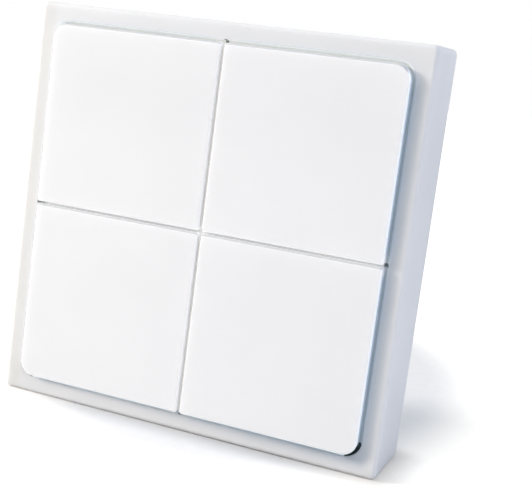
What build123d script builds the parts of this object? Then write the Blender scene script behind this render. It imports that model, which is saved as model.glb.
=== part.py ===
from build123d import *
import os

# Smart wall switch with four glass-fronted keys, run by two AAA cells and held on a steel wall
# plate by magnets. Every piece is drawn lying on its back: x to the right, y up the wall, z out of
# the wall. It is stood up when it is written, so that Z is up and the keys face -Y.

# Driving sizes in millimetres
width = 86.0
rim_level = 18.4
key_proud = 1.6
key_field = 77.5
key_gap = 0.5
key_corner = 3.2
key_clearance = 0.5
fit_clearance = 0.05

# Levels out of the wall
plate_front = 1.5
cover_back = 1.9
floor_front = 3.4
board_back = 9.4
board_front = 10.4
carrier_back = 12.6
carrier_front = 14.2
pin_level = 15.5
lever_back = 16.8
ledge_front = 17.2
cap_back = 18.2
cross_front = 17.2
key_face = rim_level + key_proud

# Front frame
frame_back = 0.4
frame_wall = 2.0
frame_flange = 2.0
frame_corner = 1.2
frame_edge = 0.9
opening_edge = 0.3
ledge_reach = 0.45
ledge_corner = 1.0
boss_place = 37.2
boss_width = 6.4
boss_back = 4.6
boss_front = 15.4
boss_web = 1.2
corner_cut = 33.3
pry_width = 14.0
pry_depth = 1.4

# Wall plate
plate_width = 74.0
plate_corner = 6.0
cable_hole_radius = 16.0
screw_place = 30.0
screw_hole_radius = 2.1
slot_length = 8.0
stud_x = 14.0
stud_y = 32.5
stud_size = 4.0
stud_clearance = 0.3
stud_back = 0.5

# Rear cover
cover_width = 81.6
cover_wall = 1.4
cover_wall_front = 6.4
relief_size = 8.4
relief_front = 4.9
relief_wall = 1.2
post_x = 34.5
post_y = 17.0
post_width = 5.4
pilot_back = 4.6

# Screws
screw_radius = 1.1
shank_hole_radius = 1.2
head_radius = 2.1
head_height = 1.2
head_clearance = 0.3
recess_length = 2.2
recess_width = 0.5
recess_depth = 0.7
sink_front = 3.3
cover_screw_front = 11.0
carrier_screw_back = 5.2

# Battery cells, their tub in the cover, and its sliding lid
cell_radius = 5.25
cell_length = 44.5
cell_pitch = 11.2
cell_level = 9.0
nub_radius = 1.9
nub_height = 0.9
tub_length = 49.8
tub_height = 22.5
tub_wall = 1.1
tub_ceiling = 14.5
tub_front = 15.4
cradle_place = 12.0
cradle_reach = 3.4
cradle_clearance = 0.1
channel_front = 3.7
channel_floor = 1.2
channel_side = 2.4
lid_back = 2.3
lid_front = 3.45
lid_length = 51.0
lid_height = 25.2
lid_travel = 5.0
lid_clearance = 0.3
tab_length = 6.0
tab_reach = 1.4
tab_back = 2.85
tab_clearance = 0.1
lip_front = 2.6
tab_starts = (-21.0, 7.0)
grip_rows = 4
grip_start = -23.0
grip_pitch = 1.8
grip_groove = 0.8
grip_height = 12.0

# Battery contacts
sheet = 0.3
contact_width = 6.0
contact_back = 5.6
contact_front = 12.6
bow_width = 4.0
bow_half = 3.0
bow_flat = 0.8
bridge_height = 2.0
tongue_width = 3.0
tongue_length = 4.6
tongue_clearance = 0.2

# Magnets
magnet_place = 26.0
magnet_size = 10.0
magnet_back = 2.3
magnet_front = 4.3
pocket_wall = 1.2
pocket_front = 4.7

# Circuit board and what it carries
board_width = 79.2
board_gap = 0.6
tact_width = 6.0
tact_height = 3.5
tact_corner = 0.5
tact_y = 22.0
foot_length = 1.2
foot_width = 0.7
foot_height = 0.2
plunger_width = 3.2
plunger_reach = 1.5
plunger_inside = 0.9
plunger_room = 0.4
module_y = 25.0
module_size = (14.0, 19.0, 0.8)
shield_y = 22.0
shield_size = (12.0, 11.0, 1.2)
chip_y = -20.0
chip_size = (7.0, 7.0, 0.9)
crystal_y = -28.0
crystal_size = (5.0, 3.2, 1.1)
capacitor_size = (2.0, 1.25, 0.8)
capacitor_x = 6.0
capacitor_rows = (-17.0, -20.0, -23.0)
led_size = (1.6, 0.8, 0.6)

# Key carrier
carrier_width = 80.8
switch_window = 8.0
seat_width = 3.0
seat_depth = 4.4
seat_front = 16.15
hook_window_margin = 0.4
cross_width = 2.0
cross_length = 74.4
cross_lift = 0.2

# Keys
key_middle = (key_gap + key_field) / 4
cap_bevel = 0.35
cap_corner_cut = 0.35
lever_outer_inset = 0.85
lever_inner_inset = 1.35
hinge_y = 36.6
pin_radius = 1.0
pin_offset = 11.0
arm_thickness = 1.0
arm_gap = 0.3
arm_width = 2.2
rib_width = 1.2
rib_back = 15.4
rib_offset = 6.0
rib_low = 14.6
rib_high = 33.8
cross_rib_back = 15.9
cross_rib_y = 31.8
push_post_width = 3.2
hook_offset = 9.0
hook_width = 3.0
hook_y = 16.2
hook_thickness = 1.2
hook_reach = 1.0
hook_tip = 11.2
hook_catch = 12.5

# Pairing button and status light
pairing_x = 12.0
pairing_y = -24.0
button_radius = 2.6
button_clearance = 0.1
button_edge = 0.3
button_back = 2.1
button_flange = 7.2
button_flange_back = 3.55
button_flange_front = 4.1
button_tip = 3.0
guide_radius = 0.9
guide_back = 2.0
guide_flange = 3.6
guide_flange_height = 0.8
guide_gap = 0.3


def slab(size_x, size_y, low, high, corner=0.0, x=0.0, y=0.0):
    """Flat piece between two levels out of the wall."""
    outline = RectangleRounded(size_x, size_y, corner) if corner else Rectangle(size_x, size_y)
    return Pos(x, y, low) * extrude(outline, high - low)


def disc(radius, low, high, x=0.0, y=0.0):
    """Round piece with its axis square to the wall."""
    return Pos(x, y, low) * extrude(Circle(radius), high - low)


def slot(length, radius, low, high, y):
    """Slot with round ends, running up the wall."""
    return Pos(0, y, low) * extrude(Rot(0, 0, 90) * SlotOverall(length, 2 * radius), high - low)


def across(radius, length, x, y, z):
    """Round piece with its axis along x."""
    return Pos(x, y, z) * Rot(0, 90, 0) * Cylinder(radius, length)


def chip(size, low, y):
    """Flat electronic part standing on a level, on the switch's middle line."""
    return slab(size[0], size[1], low, low + size[2], y=y)


def four(x, y):
    """The four mirrored places of one point."""
    return [(side * x, rise * y) for side in (-1, 1) for rise in (-1, 1)]


def corner_blocks(low, high):
    """The four corners that the frame's screw bosses take up."""
    size = width / 2 - corner_cut
    place = corner_cut + size / 2
    return [slab(size, size, low, high, x=x, y=y) for x, y in four(place, place)]


def write(name, *solids):
    """Stands the solids up and writes them as one node."""
    upright = [Rot(90, 0, 0) * solid for solid in solids]
    shape = upright[0] if len(upright) == 1 else Compound(children=upright)
    export_step(shape, f"parts/{name}.step")


def wall_plate():
    plate = slab(plate_width, plate_width, 0, plate_front, plate_corner)
    plate -= disc(cable_hole_radius, 0, plate_front)
    for side in (-1, 1):
        plate -= disc(screw_hole_radius, 0, plate_front, x=side * screw_place)
        plate -= slot(slot_length, screw_hole_radius, 0, plate_front, side * screw_place)
    window = stud_size + 2 * stud_clearance
    for x, y in four(stud_x, stud_y):
        plate -= slab(window, window, 0, plate_front, x=x, y=y)
    return plate


def front_frame():
    frame = slab(width, width, frame_back, rim_level, frame_corner)
    frame = fillet(frame.faces().sort_by(Axis.Z)[-1].edges(), frame_edge)
    cavity = width - 2 * frame_wall
    frame -= slab(cavity, cavity, frame_back, rim_level - frame_flange)

    # Opening round the keys, and the ledge below their edges that stays open in the corners
    opening = key_field + 2 * key_clearance
    frame -= slab(opening, opening, ledge_front, rim_level, key_corner + key_clearance)
    below = key_field - 2 * ledge_reach
    frame -= slab(below, below, frame_back, ledge_front, ledge_corner)
    rim = frame.faces().sort_by(Axis.Z)[-1]
    frame = chamfer(rim.inner_wires()[0].edges(), opening_edge)

    # Screw bosses, webbed to the two walls of their corner
    reach = cavity / 2 - boss_place + frame_wall / 2
    for x, y in four(boss_place, boss_place):
        outward_x = x + reach / 2 if x > 0 else x - reach / 2
        outward_y = y + reach / 2 if y > 0 else y - reach / 2
        frame += slab(boss_width, boss_width, boss_back, boss_front, x=x, y=y)
        frame += slab(reach, boss_web, boss_back, boss_front, x=outward_x, y=y)
        frame += slab(boss_web, reach, boss_back, boss_front, x=x, y=outward_y)
        frame -= disc(screw_radius, boss_back, cover_screw_front, x, y)
    notch_y = -(width - frame_wall) / 2
    return frame - slab(pry_width, frame_wall, frame_back, frame_back + pry_depth, y=notch_y)


def lid_channel():
    """The recess that the lid slides in, with the grooves and entry notches for its tabs."""
    left = -lid_length / 2 - lid_clearance
    right = lid_length / 2 + lid_travel + lid_clearance
    height = lid_height + 2 * lid_clearance
    channel = slab(right - left, height, cover_back, channel_front, x=(left + right) / 2)
    groove_height = height + 2 * (tab_reach + tab_clearance)
    start = tab_starts[0] - lid_clearance
    stop = tab_starts[-1] + tab_length + lid_travel + lid_clearance
    groove_x = (start + stop) / 2
    channel += slab(stop - start, groove_height, lip_front, channel_front, x=groove_x)
    for tab in tab_starts:
        notch_x = tab + lid_travel + tab_length / 2
        notch_length = tab_length + 2 * lid_clearance
        channel += slab(notch_length, groove_height, cover_back, channel_front, x=notch_x)
    return channel


def cover_tray():
    """Floor, low outer wall, lid bed and cell tub, still solid inside."""
    tray = slab(cover_width, cover_width, cover_back, cover_wall_front)
    inside = cover_width - 2 * cover_wall
    tray -= slab(inside, inside, floor_front, cover_wall_front)
    for block in corner_blocks(floor_front, cover_wall_front):
        tray -= block
    bed_length = lid_length + lid_travel + 2 * channel_side
    bed_height = lid_height + 2 * (lid_clearance + tab_reach + channel_side)
    bed_front = channel_front + channel_floor
    tray += slab(bed_length, bed_height, cover_back, bed_front, x=lid_travel / 2)
    outer_length = tub_length + 2 * tub_wall
    outer_height = tub_height + 2 * tub_wall
    return tray + slab(outer_length, outer_height, floor_front, tub_front)


def cover_fixings(cover):
    """Adds magnet pockets, board posts, screw pads and locating studs."""
    pocket = magnet_size + 2 * pocket_wall
    for x, y in four(magnet_place, magnet_place):
        cover += slab(pocket, pocket, cover_back, pocket_front, x=x, y=y)
        cover -= slab(magnet_size, magnet_size, magnet_back, pocket_front, x=x, y=y)
    for x, y in four(post_x, post_y):
        cover += slab(post_width, post_width, floor_front, board_back, x=x, y=y)
        cover -= disc(screw_radius, pilot_back, board_back, x, y)
    for x, y in four(boss_place, boss_place):
        cover += slab(boss_width, boss_width, cover_back, boss_back, x=x, y=y)
        cover -= disc(head_radius + head_clearance, cover_back, sink_front, x, y)
        cover -= disc(shank_hole_radius, sink_front, boss_back, x, y)
    for x, y in four(stud_x, stud_y):
        cover += slab(stud_size, stud_size, stud_back, cover_back, x=x, y=y)
    return cover


def cell_cradles():
    """Two curved ribs under the tub's ceiling that the cells lie in."""
    ribs = slab(tub_wall, tub_height, tub_ceiling - cradle_reach, tub_ceiling)
    for rise in (-1, 1):
        ribs -= across(cell_radius + cradle_clearance, 2 * tub_wall, 0, rise * cell_pitch / 2, cell_level)
    return [Pos(side * cradle_place, 0, 0) * ribs for side in (-1, 1)]


def rear_cover():
    cover = cover_fixings(cover_tray())

    # Raised boxes over the heads of the wall screws
    box = relief_size + 2 * relief_wall
    box_front = relief_front + relief_wall
    stretch = slot_length - 2 * screw_hole_radius
    for side in (-1, 1):
        cover += slab(box, box, floor_front, box_front, x=side * screw_place)
        cover += slab(box, box + stretch, floor_front, box_front, y=side * screw_place)

    # Everything hollow
    cover -= slab(tub_length, tub_height, cover_back, tub_ceiling)
    cover -= lid_channel()
    for side in (-1, 1):
        cover -= slab(relief_size, relief_size, cover_back, relief_front, x=side * screw_place)
        height = relief_size + stretch
        cover -= slab(relief_size, height, cover_back, relief_front, y=side * screw_place)
    button_hole = button_radius + button_clearance
    cover -= disc(button_hole, cover_back, floor_front, pairing_x, pairing_y)
    cover -= disc(guide_radius, cover_back, floor_front, -pairing_x, pairing_y)

    # Cradles in the tub, and the slots that the contacts' tongues leave it by
    for cradle in cell_cradles():
        cover += cradle
    slot_back = board_front - tongue_clearance
    slot_front = board_front + sheet + tongue_clearance
    slot_width = tongue_width + 2 * tongue_clearance
    slot_x = (tub_length + tub_wall) / 2
    for side in (-1, 1):
        y = side * cell_pitch / 2
        cover -= slab(2 * tub_wall, slot_width, slot_back, slot_front, x=slot_x, y=y)
    return cover


def battery_lid():
    lid = slab(lid_length, lid_height, lid_back, lid_front)
    for tab in tab_starts:
        tab_x = tab + tab_length / 2
        lid += slab(tab_length, lid_height + 2 * tab_reach, tab_back, lid_front, x=tab_x)
    for row in range(grip_rows):
        x = grip_start + row * grip_pitch
        lid -= slab(grip_groove, grip_height, lid_back, lid_back + grip_groove / 2, x=x)
    return lid


def tub_window(low, high):
    """Room for the cell tub to come through a flat piece."""
    length = tub_length + 2 * (tub_wall + board_gap)
    height = tub_height + 2 * (tub_wall + board_gap)
    return slab(length, height, low, high)


def key_carrier():
    carrier = slab(carrier_width, carrier_width, carrier_back, carrier_front)
    for block in corner_blocks(carrier_back, carrier_front):
        carrier -= block
    carrier -= tub_window(carrier_back, carrier_front)

    # Cross that closes the gaps between the keys, lifted over the cell tub
    cross = slab(cross_length, cross_width, carrier_back, cross_front)
    cross += slab(cross_width, cross_length, carrier_back, cross_front)
    carrier += cross - tub_window(carrier_back, tub_front + cross_lift)

    # Windows for the switches, and spacers that press the board on its posts
    for x, y in four(key_middle, tact_y):
        carrier -= slab(switch_window, switch_window, carrier_back, carrier_front, x=x, y=y)
    for x, y in four(post_x, post_y):
        carrier += slab(post_width, post_width, board_front, carrier_back, x=x, y=y)
        carrier -= disc(shank_hole_radius, board_front, carrier_front, x, y)

    # Open seats that the key pins snap into
    for offset in (-pin_offset, pin_offset):
        for x, y in four(key_middle + offset, hinge_y):
            carrier += slab(seat_width, seat_depth, carrier_front, seat_front, x=x, y=y)
            carrier -= across(pin_radius + fit_clearance, 2 * seat_width, x, y, pin_level)

    # Slots that the key hooks reach through
    window_width = hook_width + 2 * hook_window_margin
    window_height = hook_thickness + 2 * hook_window_margin
    for offset in (-hook_offset, hook_offset):
        for x, y in four(key_middle + offset, hook_y):
            carrier -= slab(window_width, window_height, carrier_back, carrier_front, x=x, y=y)
    return carrier


def screw(seat, tip, out):
    """Pan head screw bearing at seat: out is 1 where its head faces out of the wall."""
    top = seat + out * head_height
    piece = disc(head_radius, min(seat, top), max(seat, top))
    piece += disc(screw_radius, min(seat, tip), max(seat, tip))
    recess = top - out * recess_depth
    piece -= slab(recess_length, recess_width, min(recess, top), max(recess, top))
    piece -= slab(recess_width, recess_length, min(recess, top), max(recess, top))
    return piece


def cover_screws():
    one = screw(sink_front, cover_screw_front, -1)
    return [Pos(x, y, 0) * one for x, y in four(boss_place, boss_place)]


def carrier_screws():
    one = screw(carrier_front, carrier_screw_back, 1)
    return [Pos(x, y, 0) * one for x, y in four(post_x, post_y)]


def circuit_board():
    board = slab(board_width, board_width, board_back, board_front)
    for block in corner_blocks(board_back, board_front):
        board -= block
    board -= tub_window(board_back, board_front)
    for x, y in four(post_x, post_y):
        board -= disc(shank_hole_radius, board_back, board_front, x, y)
    return board


def tact_switch():
    """Switch body at the origin, on its feet, with the well that its plunger slides in."""
    body = slab(tact_width, tact_width, 0, tact_height)
    body = chamfer(body.edges().filter_by(Axis.Z), tact_corner)
    well = plunger_width + 2 * fit_clearance
    well_depth = plunger_inside + plunger_room
    body -= slab(well, well, tact_height - well_depth, tact_height)
    foot_x = (tact_width + foot_length) / 2 - foot_height
    foot_y = (tact_width - foot_width) / 2 - tact_corner
    for x, y in four(foot_x, foot_y):
        body += slab(foot_length, foot_width, 0, foot_height, x=x, y=y)
    return body


def tact_plunger():
    low = tact_height - plunger_inside
    return slab(plunger_width, plunger_width, low, tact_height + plunger_reach)


def outermost(edges):
    """Edges sorted from the switch's middle towards its upper right corner."""
    return edges.sort_by(lambda edge: edge.center().X + edge.center().Y)


def key_cap():
    """The upper right key's glass plate, with a ground bevel round its front."""
    low = key_gap / 2
    size = key_field / 2 - low
    cap = slab(size, size, cap_back, key_face, x=key_middle, y=key_middle)
    cap = chamfer(outermost(cap.edges().filter_by(Axis.Z))[:3], cap_corner_cut)
    cap = fillet(outermost(cap.edges().filter_by(Axis.Z))[-1], key_corner)
    return chamfer(cap.faces().sort_by(Axis.Z)[-1].edges(), cap_bevel)


def key_hook():
    """Snap hook that stops the key from lifting off its switch."""
    back = hook_y - hook_thickness / 2
    front = hook_y + hook_thickness / 2
    profile = Polyline(
        (back, lever_back),
        (back, hook_tip),
        (front, hook_tip),
        (front + hook_reach, hook_catch),
        (front, hook_catch),
        (front, lever_back),
        close=True,
    )
    hook = extrude(Plane.YZ * make_face(profile), hook_width)
    return Pos(-hook_width / 2, 0, 0) * hook


def hinge_pin(x):
    """Hinge pin between two arms that come down from the lever's plate."""
    pin = across(pin_radius, seat_width + 2 * (arm_gap + arm_thickness), x, hinge_y, pin_level)
    for side in (-1, 1):
        arm_x = x + side * (seat_width / 2 + arm_gap + arm_thickness / 2)
        arm_back = pin_level - arm_width / 2
        pin += slab(arm_thickness, arm_width, arm_back, lever_back, x=arm_x, y=hinge_y)
    return pin


def key_lever():
    """The upper right key's moulded lever: plate, ribs, hinge pins, switch post and hooks."""
    low = key_gap / 2 + lever_inner_inset
    high = key_field / 2 - lever_outer_inset
    middle = (low + high) / 2
    lever = slab(high - low, high - low, lever_back, cap_back, x=middle, y=middle)
    lever = fillet(outermost(lever.edges().filter_by(Axis.Z))[-1], key_corner - lever_outer_inset)

    # Stiffening ribs behind the plate, clear of the cell tub and of the switch plunger
    rib_middle = (rib_low + rib_high) / 2
    for side in (-1, 1):
        x = key_middle + side * rib_offset
        lever += slab(rib_width, rib_high - rib_low, rib_back, lever_back, x=x, y=rib_middle)
    for y in (tact_y, cross_rib_y):
        lever += slab(2 * rib_offset, rib_width, cross_rib_back, lever_back, x=key_middle, y=y)

    # Post that meets the switch plunger
    tip = board_front + tact_height + plunger_reach + fit_clearance
    lever += slab(push_post_width, push_post_width, tip, lever_back, x=key_middle, y=tact_y)
    for side in (-1, 1):
        lever += hinge_pin(key_middle + side * pin_offset)
        lever += Pos(key_middle + side * hook_offset, 0, 0) * key_hook()
    return lever


def battery_cell():
    """Cell lying along x, its positive nub towards +x."""
    can = across(cell_radius, cell_length - nub_height, -nub_height / 2, 0, 0)
    return can + across(nub_radius, nub_height, (cell_length - nub_height) / 2, 0, 0)


def contact(y):
    """Sheet contact at the right end of one cell, bent out to touch it."""
    wall = tub_length / 2
    root = wall - sheet
    touch = cell_length / 2
    inner_half = bow_half - 2 * sheet
    outline = Polyline(
        (root, cell_level - bow_half),
        (touch, cell_level - bow_flat),
        (touch, cell_level + bow_flat),
        (root, cell_level + bow_half),
        (root, cell_level + inner_half),
        (touch + sheet, cell_level + bow_flat),
        (touch + sheet, cell_level - bow_flat),
        (root, cell_level - inner_half),
        close=True,
    )
    profile = Plane.XZ * make_face(outline)
    bow = Pos(0, y, 0) * extrude(profile, bow_width / 2, both=True)
    plate_x = wall - sheet / 2
    return bow + slab(sheet, contact_width, contact_back, contact_front, x=plate_x, y=y)


def tongued_contact(y):
    """Contact with the tongue that is soldered on the board."""
    x = tub_length / 2 - sheet + tongue_length / 2
    tongue = slab(tongue_length, tongue_width, board_front, board_front + sheet, x=x, y=y)
    return contact(y) + tongue


def bridge_contact():
    """Joins the two cells at the left end."""
    joined = contact(-cell_pitch / 2) + contact(cell_pitch / 2)
    x = (tub_length - sheet) / 2
    joined += slab(sheet, cell_pitch, contact_back, contact_back + bridge_height, x=x)
    return mirror(joined, about=Plane.YZ)


def pairing_button():
    button = disc(button_radius, button_back, button_flange_front)
    button = chamfer(button.faces().sort_by(Axis.Z)[0].edges(), button_edge)
    button += slab(button_flange, button_flange, button_flange_back, button_flange_front)
    tip = board_back - tact_height - plunger_reach - fit_clearance
    button += slab(button_tip, button_tip, button_flange_front, tip)
    return Pos(pairing_x, pairing_y, 0) * button


def light_guide():
    front = board_back - led_size[2] - guide_gap
    guide = disc(guide_radius, guide_back, front)
    guide += slab(guide_flange, guide_flange, floor_front, floor_front + guide_flange_height)
    return Pos(-pairing_x, pairing_y, 0) * guide


def placed(shape, side, rise):
    """Mirrors an upper right piece into another quarter."""
    shape = shape if side > 0 else mirror(shape, about=Plane.YZ)
    return shape if rise > 0 else mirror(shape, about=Plane.XZ)


def write_casing():
    write("wall_plate", wall_plate())
    write("front_frame", front_frame())
    write("rear_cover", rear_cover())
    write("cover_screws", *cover_screws())
    magnet = slab(magnet_size, magnet_size, magnet_back, magnet_front)
    write("holding_magnets", *[Pos(x, y, 0) * magnet for x, y in four(magnet_place, magnet_place)])


def write_keys():
    write("key_carrier", key_carrier())
    write("carrier_screws", *carrier_screws())
    for rise, row in ((1, "upper"), (-1, "lower")):
        for side, column in ((-1, "left"), (1, "right")):
            name = f"{row}_{column}"
            spot = Pos(side * key_middle, rise * tact_y, board_front)
            write(f"tact_switch_{name}", spot * tact_switch())
            write(f"tact_plunger_{name}", spot * tact_plunger())
            write(f"key_cap_{name}", placed(key_cap(), side, rise))
            write(f"key_lever_{name}", placed(key_lever(), side, rise))


def write_battery():
    half_pitch = cell_pitch / 2
    write("battery_cell_upper", Pos(0, half_pitch, cell_level) * battery_cell())
    write("battery_cell_lower", Pos(0, -half_pitch, cell_level) * Rot(0, 0, 180) * battery_cell())
    write("positive_contact", tongued_contact(half_pitch))
    write("negative_contact", tongued_contact(-half_pitch))
    write("bridge_contact", bridge_contact())
    write("battery_lid", battery_lid())


def write_electronics():
    write("circuit_board", circuit_board())
    write("radio_module", chip(module_size, board_front, module_y))
    write("radio_shield", chip(shield_size, board_front + module_size[2], shield_y))
    write("control_chip", chip(chip_size, board_front, chip_y))
    write("timing_crystal", chip(crystal_size, board_front, crystal_y))
    row_places = [(x, y) for x in (-capacitor_x, capacitor_x) for y in capacitor_rows]
    capacitors = [Pos(x, 0, 0) * chip(capacitor_size, board_front, y) for x, y in row_places]
    write("chip_capacitors", *capacitors)
    behind = Pos(pairing_x, pairing_y, board_back) * Rot(180, 0, 0)
    write("pairing_switch", behind * tact_switch())
    write("pairing_plunger", behind * tact_plunger())
    write("pairing_button", pairing_button())
    write("status_led", Pos(-pairing_x, 0, 0) * chip(led_size, board_back - led_size[2], pairing_y))
    write("light_guide", light_guide())


os.makedirs("parts", exist_ok=True)
write_casing()
write_keys()
write_battery()
write_electronics()
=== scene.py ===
import bpy
from mathutils import Matrix, Vector


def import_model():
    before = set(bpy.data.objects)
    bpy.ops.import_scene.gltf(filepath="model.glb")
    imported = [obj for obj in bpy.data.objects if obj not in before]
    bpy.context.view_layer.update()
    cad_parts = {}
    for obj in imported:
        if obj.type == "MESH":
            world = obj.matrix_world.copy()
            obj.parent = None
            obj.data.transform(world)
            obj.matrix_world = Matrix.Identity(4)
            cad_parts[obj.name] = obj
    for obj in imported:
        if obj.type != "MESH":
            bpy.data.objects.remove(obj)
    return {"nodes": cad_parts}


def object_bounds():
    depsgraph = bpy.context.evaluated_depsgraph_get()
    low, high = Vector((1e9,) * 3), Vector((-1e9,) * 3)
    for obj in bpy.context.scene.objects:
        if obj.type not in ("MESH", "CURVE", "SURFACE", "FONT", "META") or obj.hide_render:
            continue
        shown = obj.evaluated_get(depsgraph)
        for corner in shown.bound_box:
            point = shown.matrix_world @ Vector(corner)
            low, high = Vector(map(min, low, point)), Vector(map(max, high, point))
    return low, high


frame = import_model()
cad_low, cad_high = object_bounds()

# Size of the photograph, in pixels
IMAGE_WIDTH = 532
IMAGE_HEIGHT = 499

WHITE = (1.0, 1.0, 1.0)
BLACK = (0.0, 0.0, 0.0)

# Colours of the glass keys: the white paint behind the front, then the bevels with painted highlight and
# shade by how they face the lamp, then the walls, painted pale along the cross and with painted shade
# under the lower corners
GLASS_FRONT_LOW = (0.865, 0.865, 0.865)
GLASS_FRONT_HIGH = (0.88, 0.88, 0.88)
BEVEL_LIT_DARKENED = (0.62, 0.63, 0.64)
BEVEL_LEFT_SHADE = (0.52, 0.515, 0.505)
BEVEL_CROSS_HIGHLIGHT = (0.97, 0.97, 0.97)
BEVEL_OUTSIDE_HIGHLIGHT = (0.9, 0.97, 0.99)
GLASS_WALL_LOW = (0.66, 0.77, 0.87)
GLASS_WALL_HIGH = (0.74, 0.84, 0.93)
DARK_SHADE_PAINT = (0.01, 0.05, 0.055)
CROSS_WALL_LIGHT_PAINT = (0.9, 0.9, 0.9)

# How a key's face is turned, as parts of its normal, where one colour changes to the next; the turns also
# choose where highlight and shade are painted by how a face meets the lamp
WALL_TURNS = (0.2, 0.5)
FRONT_TURNS = (0.85, 0.98)
SHADED_TURNS = (-0.1, 0.4)
LEFT_TURNS = (-0.6, -0.2)
CORNER_TURNS = (0.15, 0.4)
DOWN_TURN = -0.3

# Distances in the face of the switch, in metres: the cross, the gap round the keys, and its corners
CROSS_ENDS = (0.0012, 0.003)
MIDDLE_ENDS = (0.0004, 0.0011)
GAP_ENDS = (0.0396, 0.0399)
GAP_DEPTHS = (-0.0184, -0.0182)
GAP_END_REACH = 0.00035
GAP_END_DARK = 0.75
CORNER_STARTS = 0.0362
TOP_STARTS = (-0.002, 0.004)

# Painted shadow of the keys on the rim at the right and lower right, and a darker, warmer tint painted on
# the left rim where the warm lamp falls
RIM_SHADED = (0.6, 0.64, 0.68)
KEYS_REACH = (0.03925, 0.0, 0.03925)
RIM_FADES = (0.0002, 0.0027)
RIM_SIDES = (-0.03, 0.04)
RIM_TOP = (0.033, 0.038)
LEFT_RIM_LAMP_TINT = (0.775, 0.768, 0.752)
LEFT_RIM = (-0.0405, -0.0385)

# Painted glow, emission standing in for the light that shows in the gaps between the keys and round them
CROSS_GLOW = 0.08
RIB_GLOW = 0.22
MIDDLE_GLOW = 0.15
BEVEL_GLOW = 0.13
TOP_GLOW = (0.24, 0.24, 0.22)
SIDE_GLOW = (0.06, 0.075, 0.09)

# How fine the surface patterns are, as texture scales on a piece measured in metres
PLASTIC_CLOUD = 60.0
PLASTIC_GRAIN = 9000.0
METAL_GRAIN = 900.0
ZINC_SPANGLE = 420.0
CLEAR_HAZE = 2000.0
GLASS_CLOUD = 45.0
GLASS_STREAK = 700.0
PAPER_GRAIN = 400.0

# Heights of the grain, and how far light goes into milky plastic and into the keys, in metres
PLASTIC_RELIEF = 0.0002
METAL_RELIEF = 0.0001
LIGHT_DEPTH = 0.0012

# Painted light: the floor shows whiter than its shading outside an oval that holds the switch's shadow
FLOOR_SIZE = 6.0
PAPER_LOW = (0.87, 0.87, 0.87)
PAPER_HIGH = (0.89, 0.89, 0.89)
SHADOW_MIDDLE = 0.04
SHADOW_HALF_WIDTH = 0.039
SHADOW_HALF_LENGTH = 0.065
SHADOW_FADES = (1.0, 1.5)
HORIZON_FADES = (3.0, 12.0)
FLOOR_LIFT = (1.0, 0.93, 0.8)
LIFT_CLEAR = 0.45
LIFT_HORIZON = 0.5

# Painted contact shadow: a soft dark line on the floor at the switch's foot
FOOT_MIDDLE = (0.0, -0.009, 0.0)
FOOT_REACH = (0.042, 0.008, 0.0)
FOOT_FADES = (0.0, 0.009)
FOOT_SIDES = (-0.12, 0.06)
FOOT_DARK = 0.36

# Light from all round, which grows from nothing level with the horizon to this overhead
SKY_COLOUR = (0.93, 0.97, 1.0)
SKY_OVERHEAD = 0.97

# The switch stands on its bottom edge, so the floor lies at its lowest point
floor_level = cad_low.z


# Node helpers


def tree_of(material):
    nodes = material.node_tree.nodes
    return nodes, material.node_tree.links, nodes["Principled BSDF"]


def new_material(name):
    material = bpy.data.materials.new(name)
    material.use_nodes = True
    return material, *tree_of(material)


def split(nodes, links, vector):
    """The X, Y and Z of a vector."""
    parts = nodes.new("ShaderNodeSeparateXYZ")
    links.new(vector, parts.inputs["Vector"])
    return parts.outputs


def object_place(nodes):
    """A point's place on its own piece, which the pose doesn't change."""
    return nodes.new("ShaderNodeTexCoord").outputs["Object"]


def noise(nodes, links, scale, detail=3.0, roughness=0.5, place=None):
    """Noise that stays with the piece."""
    texture = nodes.new("ShaderNodeTexNoise")
    texture.inputs["Scale"].default_value = scale
    texture.inputs["Detail"].default_value = detail
    texture.inputs["Roughness"].default_value = roughness
    if place is None:
        place = object_place(nodes)
    links.new(place, texture.inputs["Vector"])
    return texture.outputs["Fac"]


def combine(nodes, links, operation, *values):
    """A math node fed with numbers and sockets."""
    math_node = nodes.new("ShaderNodeMath")
    math_node.operation = operation
    for socket, value in zip(math_node.inputs, values):
        if isinstance(value, float):
            socket.default_value = value
        else:
            links.new(value, socket)
    return math_node.outputs[0]


def one_minus(nodes, links, value):
    return combine(nodes, links, "SUBTRACT", 1.0, value)


def product(nodes, links, first, *others):
    for other in others:
        first = combine(nodes, links, "MULTIPLY", first, other)
    return first


def between(nodes, links, value, low, high):
    """1 where a value lies past high, 0 below low, smooth in the middle."""
    ramp = nodes.new("ShaderNodeMapRange")
    ramp.interpolation_type = "SMOOTHSTEP"
    ramp.inputs["From Min"].default_value = low
    ramp.inputs["From Max"].default_value = high
    links.new(value, ramp.inputs["Value"])
    return ramp.outputs["Result"]


def vector_steps(nodes, links, vector, *steps):
    """A chain of vector math nodes, each with its second value."""
    for operation, value in steps:
        step = nodes.new("ShaderNodeVectorMath")
        step.operation = operation
        links.new(vector, step.inputs[0])
        if value is not None:
            step.inputs[1].default_value = value
        vector = step.outputs["Value" if operation == "LENGTH" else "Vector"]
    return vector


def reach(nodes, links, parts, which):
    """The smaller or larger of a point's distances from the upright and the level middle line."""
    sideways = combine(nodes, links, "ABSOLUTE", parts["X"])
    upward = combine(nodes, links, "ABSOLUTE", parts["Z"])
    return combine(nodes, links, which, sideways, upward)


def blend_colours(nodes, links, factor, low, high):
    """Two colours that follow a pattern, with the middle of its range spread out."""
    ramp = nodes.new("ShaderNodeValToRGB")
    ramp.color_ramp.elements[0].position = 0.35
    ramp.color_ramp.elements[1].position = 0.65
    ramp.color_ramp.elements[0].color = (*low, 1.0)
    ramp.color_ramp.elements[1].color = (*high, 1.0)
    links.new(factor, ramp.inputs["Fac"])
    return ramp.outputs["Color"]


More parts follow.
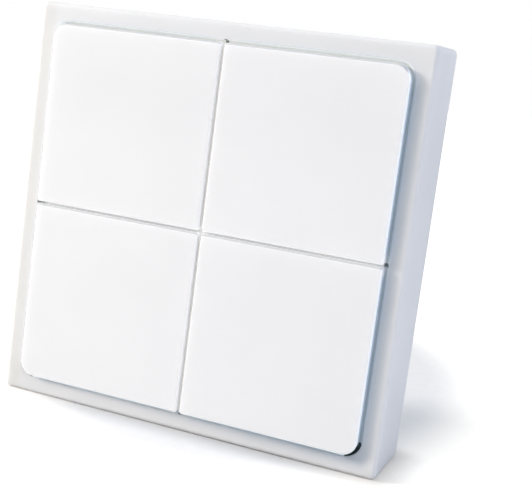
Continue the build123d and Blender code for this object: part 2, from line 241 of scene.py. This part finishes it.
def mix_colours(nodes, links, factor, first, second):
    """The first colour where the factor is 0 and the second where it is 1."""
    blend = nodes.new("ShaderNodeMix")
    blend.data_type = "RGBA"
    links.new(factor, blend.inputs["Factor"])
    colours = [socket for socket in blend.inputs if socket.type == "RGBA"]
    for socket, colour in zip(colours, (first, second)):
        if isinstance(colour, tuple):
            socket.default_value = (*colour, 1.0)
        else:
            links.new(colour, socket)
    return next(socket for socket in blend.outputs if socket.type == "RGBA")


def vary_roughness(nodes, links, shader, pattern, low, high):
    spread = nodes.new("ShaderNodeMapRange")
    spread.inputs["To Min"].default_value = low
    spread.inputs["To Max"].default_value = high
    links.new(pattern, spread.inputs["Value"])
    links.new(spread.outputs["Result"], shader.inputs["Roughness"])


def add_relief(nodes, links, shader, pattern, strength, height):
    bump = nodes.new("ShaderNodeBump")
    bump.inputs["Strength"].default_value = strength
    bump.inputs["Distance"].default_value = height
    links.new(pattern, bump.inputs["Height"])
    links.new(bump.outputs["Normal"], shader.inputs["Normal"])


def let_light_in(shader, weight):
    shader.inputs["Subsurface Weight"].default_value = weight
    shader.inputs["Subsurface Radius"].default_value = WHITE
    shader.inputs["Subsurface Scale"].default_value = LIGHT_DEPTH


# Plastics


def moulded_plastic(name, colour, roughness, grain=0.012, spread=0.012, coat=0.0, milky=0.0):
    """Injection moulded plastic: a faint cloudiness in the colour and a fine spark-eroded grain."""
    material, nodes, links, shader = new_material(name)
    cloud = noise(nodes, links, PLASTIC_CLOUD, detail=2.0)
    low = [channel * (1.0 - spread) for channel in colour]
    high = [min(1.0, channel * (1.0 + spread)) for channel in colour]
    links.new(blend_colours(nodes, links, cloud, low, high), shader.inputs["Base Color"])
    fine = noise(nodes, links, PLASTIC_GRAIN, detail=2.0, roughness=0.6)
    vary_roughness(nodes, links, shader, fine, roughness - 0.04, roughness + 0.04)
    add_relief(nodes, links, shader, fine, grain, PLASTIC_RELIEF)
    shader.inputs["Specular IOR Level"].default_value = 0.5
    shader.inputs["Coat Weight"].default_value = coat
    shader.inputs["Coat Roughness"].default_value = 0.08
    let_light_in(shader, milky)
    return material


def clear_plastic():
    material, nodes, links, shader = new_material("clear_plastic")
    haze = noise(nodes, links, CLEAR_HAZE)
    vary_roughness(nodes, links, shader, haze, 0.05, 0.15)
    shader.inputs["Base Color"].default_value = (0.93, 0.96, 0.97, 1.0)
    shader.inputs["Transmission Weight"].default_value = 0.9
    shader.inputs["IOR"].default_value = 1.49
    return material


def middle_glow(nodes, links, parts):
    """Painted glow where the two gaps cross, and none elsewhere."""
    away = between(nodes, links, reach(nodes, links, parts, "MAXIMUM"), *MIDDLE_ENDS)
    return product(nodes, links, one_minus(nodes, links, away), MIDDLE_GLOW)


def carrier_plastic():
    """White plastic whose rib has a faint painted glow in the keys' gaps, like the light that clear keys
    pass on.
    """
    material = moulded_plastic("carrier_plastic", (0.88, 0.88, 0.88), roughness=0.45)
    nodes, links, shader = tree_of(material)
    parts = split(nodes, links, object_place(nodes))
    glow = combine(nodes, links, "ADD", middle_glow(nodes, links, parts), RIB_GLOW)
    links.new(glow, shader.inputs["Emission Strength"])
    shader.inputs["Emission Color"].default_value = (*WHITE, 1.0)
    return material


# The frame


def rim_shade(nodes, links, place, parts):
    """How much painted shadow of the keys the rim takes: close to them, below their top, and more to the
    right.
    """
    distance = vector_steps(
        nodes,
        links,
        place,
        ("ABSOLUTE", None),
        ("SUBTRACT", KEYS_REACH),
        ("MAXIMUM", (0, 0, 0)),
        ("MULTIPLY", (1, 0, 1)),
        ("LENGTH", None),
    )
    near = one_minus(nodes, links, between(nodes, links, distance, *RIM_FADES))
    rightward = between(nodes, links, parts["X"], *RIM_SIDES)
    below_top = one_minus(nodes, links, between(nodes, links, parts["Z"], *RIM_TOP))
    return product(nodes, links, rightward, below_top, near)


def gap_walls(nodes, links, parts):
    """1 on the walls of the frame's opening, below its flat rim."""
    outward = between(nodes, links, reach(nodes, links, parts, "MAXIMUM"), *GAP_ENDS)
    sunk = between(nodes, links, parts["Y"], *GAP_DEPTHS)
    return product(nodes, links, one_minus(nodes, links, outward), sunk)


def gap_painted_shade(nodes, links, parts):
    """How much painted shade the gap round the keys takes: in its lower corners, and where the cross
    meets it.
    """
    sideways = combine(nodes, links, "ABSOLUTE", parts["X"])
    beside = combine(nodes, links, "GREATER_THAN", sideways, CORNER_STARTS)
    below = combine(nodes, links, "LESS_THAN", parts["Z"], -CORNER_STARTS)
    at_end = combine(nodes, links, "LESS_THAN", reach(nodes, links, parts, "MINIMUM"), GAP_END_REACH)
    end_dark = product(nodes, links, at_end, GAP_END_DARK)
    return combine(nodes, links, "MAXIMUM", product(nodes, links, beside, below), end_dark)


def above_keys(nodes, links, parts):
    """1 in the gap above the keys and 0 in the gaps beside and below them."""
    sideways = combine(nodes, links, "ABSOLUTE", parts["X"])
    above = combine(nodes, links, "SUBTRACT", parts["Z"], sideways)
    return between(nodes, links, above, *TOP_STARTS)


def frame_plastic():
    """Milky white plastic with painted shadow of the keys on its rim, a painted lamp tint on the left
    rim, a painted glow in the gap round the keys, stronger above them, and painted shade in the gap's
    lower corners.
    """
    material = moulded_plastic("frame_plastic", (0.8, 0.8, 0.8), roughness=0.42, milky=0.8)
    nodes, links, shader = tree_of(material)
    place = object_place(nodes)
    parts = split(nodes, links, place)
    in_gap = gap_walls(nodes, links, parts)
    dark = product(nodes, links, gap_painted_shade(nodes, links, parts), in_gap)

    white = shader.inputs["Base Color"].links[0].from_socket
    # Painted lamp tint: the left rim darker and warmer, where the warm lamp falls
    not_left = between(nodes, links, parts["X"], *LEFT_RIM)
    colour = mix_colours(nodes, links, not_left, LEFT_RIM_LAMP_TINT, white)
    # Painted shadow of the keys on the rim
    colour = mix_colours(nodes, links, rim_shade(nodes, links, place, parts), colour, RIM_SHADED)
    # Painted shade: near black in the gap's lower corners and where the cross meets it
    colour = mix_colours(nodes, links, dark, colour, DARK_SHADE_PAINT)
    links.new(colour, shader.inputs["Base Color"])

    # Painted glow on the walls of the opening, stronger in the gap above the keys, none in the painted
    # shade
    glow = mix_colours(nodes, links, above_keys(nodes, links, parts), SIDE_GLOW, TOP_GLOW)
    glow = mix_colours(nodes, links, dark, glow, BLACK)
    links.new(glow, shader.inputs["Emission Color"])
    links.new(in_gap, shader.inputs["Emission Strength"])
    return material


# The keys


def key_sides(nodes, links, parts):
    """What a point of a key is part of, from 0 to 1, by where it lies and how its face is turned; some
    parts choose where highlight and shade are painted.
    """
    turned = split(nodes, links, nodes.new("ShaderNodeTexCoord").outputs["Normal"])
    facing = combine(nodes, links, "MULTIPLY", turned["Y"], -1.0)
    sideways = combine(nodes, links, "ABSOLUTE", turned["X"])
    downward = combine(nodes, links, "LESS_THAN", turned["Z"], DOWN_TURN)
    turned_away = combine(nodes, links, "SUBTRACT", turned["X"], turned["Z"])
    return {
        "not_wall": between(nodes, links, facing, *WALL_TURNS),
        "front": between(nodes, links, facing, *FRONT_TURNS),
        "outside": between(nodes, links, reach(nodes, links, parts, "MINIMUM"), *CROSS_ENDS),
        "shade_under_corner": product(nodes, links, downward, between(nodes, links, sideways, *CORNER_TURNS)),
        "shaded": between(nodes, links, turned_away, *SHADED_TURNS),
        "not_left": between(nodes, links, turned["X"], *LEFT_TURNS),
    }


def key_colour(nodes, links, side, cloud):
    """White paint behind the front; blue-green walls outside, painted pale along the cross, with painted
    shade under the lower corners; bevels with painted highlight where turned from the lamp and painted
    darker where they face it.
    """
    streak = noise(nodes, links, GLASS_STREAK)
    wall = blend_colours(nodes, links, streak, GLASS_WALL_LOW, GLASS_WALL_HIGH)
    # Painted shade: near-black walls facing down at the keys' lower corners
    wall = mix_colours(nodes, links, side["shade_under_corner"], wall, DARK_SHADE_PAINT)
    # Walls along the cross painted pale, as the light that clear glass carries there
    wall = mix_colours(nodes, links, side["outside"], CROSS_WALL_LIGHT_PAINT, wall)
    # Painted highlight on bevels turned away from the lamp, and darker paint on bevels that face it or
    # the left
    shaded = mix_colours(nodes, links, side["outside"], BEVEL_CROSS_HIGHLIGHT, BEVEL_OUTSIDE_HIGHLIGHT)
    lit = mix_colours(nodes, links, side["not_left"], BEVEL_LEFT_SHADE, BEVEL_LIT_DARKENED)
    bevel = mix_colours(nodes, links, side["shaded"], lit, shaded)
    edge = mix_colours(nodes, links, side["not_wall"], wall, bevel)
    white = blend_colours(nodes, links, cloud, GLASS_FRONT_LOW, GLASS_FRONT_HIGH)
    return mix_colours(nodes, links, side["front"], edge, white)


def key_light(nodes, links, side, parts):
    """Painted glow standing in for the light that the clear plate carries to its walls along the cross
    and to its shaded bevels.
    """
    at_cross = one_minus(nodes, links, side["outside"])
    walls = combine(nodes, links, "SUBTRACT", at_cross, side["not_wall"])
    walls = combine(nodes, links, "MAXIMUM", walls, 0.0)
    wall_light = combine(nodes, links, "ADD", CROSS_GLOW, middle_glow(nodes, links, parts))
    bevels = combine(nodes, links, "SUBTRACT", side["not_wall"], side["front"])
    bevels = product(nodes, links, bevels, side["shaded"], BEVEL_GLOW)
    return combine(nodes, links, "ADD", product(nodes, links, walls, wall_light), bevels)


def key_glass():
    """Clear plate with white paint behind it, and painted highlight, shade and glow on its bevels and
    walls.
    """
    material, nodes, links, shader = new_material("key_glass")
    parts = split(nodes, links, object_place(nodes))
    side = key_sides(nodes, links, parts)
    cloud = noise(nodes, links, GLASS_CLOUD, detail=2.0)
    colour = key_colour(nodes, links, side, cloud)
    links.new(colour, shader.inputs["Base Color"])
    # Painted glow: the key's colour also emits on its cross walls and shaded bevels
    links.new(colour, shader.inputs["Emission Color"])
    links.new(key_light(nodes, links, side, parts), shader.inputs["Emission Strength"])
    vary_roughness(nodes, links, shader, cloud, 0.08, 0.14)
    shader.inputs["IOR"].default_value = 1.5
    let_light_in(shader, 1.0)
    return material


# Metals


def metal(name, colour, roughness, brushed=(1, 1, 1)):
    """Sheet or turned metal, its grain stretched by the brushed factors."""
    material, nodes, links, shader = new_material(name)
    stretch = nodes.new("ShaderNodeMapping")
    stretch.inputs["Scale"].default_value = brushed
    links.new(object_place(nodes), stretch.inputs["Vector"])
    grain = noise(nodes, links, METAL_GRAIN, detail=4.0, roughness=0.6, place=stretch.outputs["Vector"])
    low = [channel * 0.93 for channel in colour]
    links.new(blend_colours(nodes, links, grain, low, colour), shader.inputs["Base Color"])
    vary_roughness(nodes, links, shader, grain, roughness - 0.07, roughness + 0.07)
    add_relief(nodes, links, shader, grain, 0.05, METAL_RELIEF)
    shader.inputs["Metallic"].default_value = 1.0
    return material


def zinc_plate():
    """Galvanised sheet with its faint spangle."""
    material, nodes, links, shader = new_material("zinc_plate")
    cells = nodes.new("ShaderNodeTexVoronoi")
    cells.inputs["Scale"].default_value = ZINC_SPANGLE
    links.new(object_place(nodes), cells.inputs["Vector"])
    shade = nodes.new("ShaderNodeSeparateColor")
    links.new(cells.outputs["Color"], shade.inputs["Color"])
    colour = blend_colours(nodes, links, shade.outputs["Red"], (0.58, 0.59, 0.61), (0.62, 0.63, 0.645))
    links.new(colour, shader.inputs["Base Color"])
    vary_roughness(nodes, links, shader, shade.outputs["Green"], 0.34, 0.42)
    shader.inputs["Metallic"].default_value = 0.9
    return material


# Materials on the pieces


def paint(material, *names):
    for name in names:
        for slot in frame["nodes"][name].material_slots:
            slot.material = material


def each_key(name):
    return [f"{name}_{row}_{column}" for row in ("upper", "lower") for column in ("left", "right")]


paint(frame_plastic(), "front_frame")
paint(key_glass(), *each_key("key_cap"))
lever_white = moulded_plastic("lever_plastic", (0.9, 0.9, 0.9), roughness=0.45)
paint(lever_white, *each_key("key_lever"))
paint(carrier_plastic(), "key_carrier")
cover_white = moulded_plastic("cover_plastic", (0.74, 0.74, 0.73), roughness=0.55, grain=0.03)
paint(cover_white, "rear_cover", "battery_lid")
paint(zinc_plate(), "wall_plate")
paint(metal("screw_steel", (0.6, 0.6, 0.62), roughness=0.3), "cover_screws", "carrier_screws")
solder_mask = moulded_plastic("solder_mask", (0.03, 0.16, 0.07), roughness=0.35, spread=0.1, coat=0.3)
paint(solder_mask, "circuit_board", "radio_module")
switch_black = moulded_plastic("switch_black", (0.02, 0.02, 0.022), roughness=0.5, spread=0.2)
paint(switch_black, "control_chip", "pairing_switch", *each_key("tact_switch"))
plunger_grey = moulded_plastic("plunger_grey", (0.2, 0.2, 0.21), roughness=0.4, spread=0.1)
paint(plunger_grey, "pairing_plunger", *each_key("tact_plunger"))
tinned = metal("tinned_shield", (0.7, 0.7, 0.69), roughness=0.3, brushed=(1, 1, 12))
paint(tinned, "radio_shield", "timing_crystal")
ceramic = moulded_plastic("capacitor_ceramic", (0.45, 0.3, 0.17), roughness=0.4, spread=0.1)
paint(ceramic, "chip_capacitors")
nickel = metal("nickel_sheet", (0.72, 0.7, 0.66), roughness=0.28, brushed=(1, 8, 1))
paint(nickel, "positive_contact", "negative_contact", "bridge_contact")
cell_can = metal("cell_can", (0.4, 0.41, 0.43), roughness=0.35, brushed=(1, 10, 10))
paint(cell_can, "battery_cell_upper", "battery_cell_lower")
paint(metal("magnet_nickel", (0.75, 0.74, 0.71), roughness=0.15), "holding_magnets")
button_grey = moulded_plastic("button_grey", (0.3, 0.31, 0.33), roughness=0.45, spread=0.05)
paint(button_grey, "pairing_button")
paint(clear_plastic(), "light_guide", "status_led")


# Stage


def foot_shade(nodes, links, place):
    """How much painted contact shadow the floor takes right at the switch's foot, most at its right end.
    """
    distance = vector_steps(
        nodes,
        links,
        place,
        ("SUBTRACT", FOOT_MIDDLE),
        ("ABSOLUTE", None),
        ("SUBTRACT", FOOT_REACH),
        ("MAXIMUM", (0, 0, 0)),
        ("LENGTH", None),
    )
    near = one_minus(nodes, links, between(nodes, links, distance, *FOOT_FADES))
    rightward = between(nodes, links, split(nodes, links, place)["X"], *FOOT_SIDES)
    return product(nodes, links, near, rightward, FOOT_DARK)


def floor_lift(nodes, links, place):
    """How much whiter than its shading the floor shows: more outside the shadow's oval, most far off."""
    oval = nodes.new("ShaderNodeMapping")
    oval.vector_type = "TEXTURE"
    oval.inputs["Location"].default_value = (0, SHADOW_MIDDLE, 0)
    oval.inputs["Scale"].default_value = (SHADOW_HALF_WIDTH, SHADOW_HALF_LENGTH, 1)
    links.new(place, oval.inputs["Vector"])
    distance = vector_steps(nodes, links, oval.outputs["Vector"], ("LENGTH", None))
    clear = product(nodes, links, between(nodes, links, distance, *SHADOW_FADES), LIFT_CLEAR)
    far = product(nodes, links, between(nodes, links, distance, *HORIZON_FADES), LIFT_HORIZON)
    return combine(nodes, links, "ADD", clear, far)


def floor_paper():
    """Matt white paper, lifted to full white by painted light outside the oval round the switch's shadow
    and far off, with a painted contact shadow at the switch's foot.
    """
    material, nodes, links, shader = new_material("floor_paper")
    place = object_place(nodes)
    shade = foot_shade(nodes, links, place)
    grain = noise(nodes, links, PAPER_GRAIN, detail=2.0)
    paper = blend_colours(nodes, links, grain, PAPER_LOW, PAPER_HIGH)
    # Painted contact shadow darkens the paper at the switch's foot
    links.new(mix_colours(nodes, links, shade, paper, BLACK), shader.inputs["Base Color"])
    shader.inputs["Roughness"].default_value = 0.9
    shader.inputs["Specular IOR Level"].default_value = 0.1
    shader.inputs["Emission Color"].default_value = (*FLOOR_LIFT, 1.0)
    seen = nodes.new("ShaderNodeLightPath").outputs["Is Camera Ray"]
    # Painted light: camera-only emission whitens the floor outside the shadow's oval
    lift = product(nodes, links, floor_lift(nodes, links, place), seen, one_minus(nodes, links, shade))
    links.new(lift, shader.inputs["Emission Strength"])
    return material


def floor():
    bpy.ops.mesh.primitive_plane_add(size=FLOOR_SIZE, location=(0, 0, floor_level))
    ground = bpy.context.object
    ground.name = "floor"
    ground.data.materials.append(floor_paper())


def sky_light(nodes, links):
    """Soft light that is strongest overhead."""
    light = nodes.new("ShaderNodeBackground")
    light.inputs["Color"].default_value = (*SKY_COLOUR, 1.0)
    direction = nodes.new("ShaderNodeTexCoord").outputs["Generated"]
    strength = nodes.new("ShaderNodeMapRange")
    strength.inputs["To Max"].default_value = SKY_OVERHEAD
    links.new(split(nodes, links, direction)["Z"], strength.inputs["Value"])
    links.new(strength.outputs["Result"], light.inputs["Strength"])
    return light.outputs["Background"]


def world():
    """White to the eye, in reflections and through clear pieces, and the sky's soft light elsewhere."""
    sky = bpy.data.worlds.new("sky")
    sky.use_nodes = True
    nodes = sky.node_tree.nodes
    links = sky.node_tree.links
    backdrop = nodes["Background"]
    backdrop.inputs["Color"].default_value = (*WHITE, 1.0)
    rays = nodes.new("ShaderNodeLightPath").outputs
    direct = combine(nodes, links, "MAXIMUM", rays["Is Camera Ray"], rays["Is Glossy Ray"])
    shown = combine(nodes, links, "MAXIMUM", direct, rays["Is Transmission Ray"])
    either = nodes.new("ShaderNodeMixShader")
    links.new(shown, either.inputs["Fac"])
    links.new(sky_light(nodes, links), either.inputs[1])
    links.new(backdrop.outputs["Background"], either.inputs[2])
    links.new(either.outputs["Shader"], nodes["World Output"].inputs["Surface"])
    bpy.context.scene.world = sky


def area_lamp(name, place, target, size, power, colour):
    data = bpy.data.lights.new(name, "AREA")
    data.shape = "DISK"
    data.size = size
    data.energy = power
    data.color = colour
    lamp = bpy.data.objects.new(name, data)
    lamp.location = place
    lamp.rotation_euler = (Vector(target) - Vector(place)).to_track_quat("-Z", "Y").to_euler()
    lamp.visible_camera = False
    bpy.context.collection.objects.link(lamp)


def camera():
    """At the photograph's place, fitted to its straight edges on an 86 mm wide frame."""
    focal_pixels = 1122.98
    principal_across = 203.6
    principal_down = 218.3
    right = Vector((0.91493545, 0.38478493, 0.12179365))
    down = Vector((0.16788359, -0.08841701, -0.98183376))
    forward = Vector((-0.3670262, 0.91876166, -0.14549493))
    place = Vector((0.08481787, -0.23069015, 0.03636611))
    data = bpy.data.cameras.new("camera")
    data.sensor_width = 36.0
    data.lens = data.sensor_width * focal_pixels / IMAGE_WIDTH
    data.shift_x = (IMAGE_WIDTH / 2 - principal_across) / IMAGE_WIDTH
    data.shift_y = (principal_down - IMAGE_HEIGHT / 2) / IMAGE_WIDTH
    data.clip_start = 0.01
    rig = bpy.data.objects.new("camera", data)
    turn = Matrix((right, -down, -forward)).transposed()
    rig.matrix_world = Matrix.Translation(place) @ turn.to_4x4()
    bpy.context.collection.objects.link(rig)
    bpy.context.scene.camera = rig


floor()
world()
area_lamp(
    "grazing",
    place=(-0.745, -0.35, 0.3),
    target=(0, -0.018, 0),
    size=0.2,
    power=6.9,
    colour=(1.0, 0.935, 0.88),
)
area_lamp(
    "side",
    place=(0.6, -0.15, 0.3),
    target=(0, 0, 0),
    size=0.4,
    power=1.2,
    colour=(0.61, 0.7, 1.0),
)
camera()
bpy.context.scene.view_settings.view_transform = "Standard"
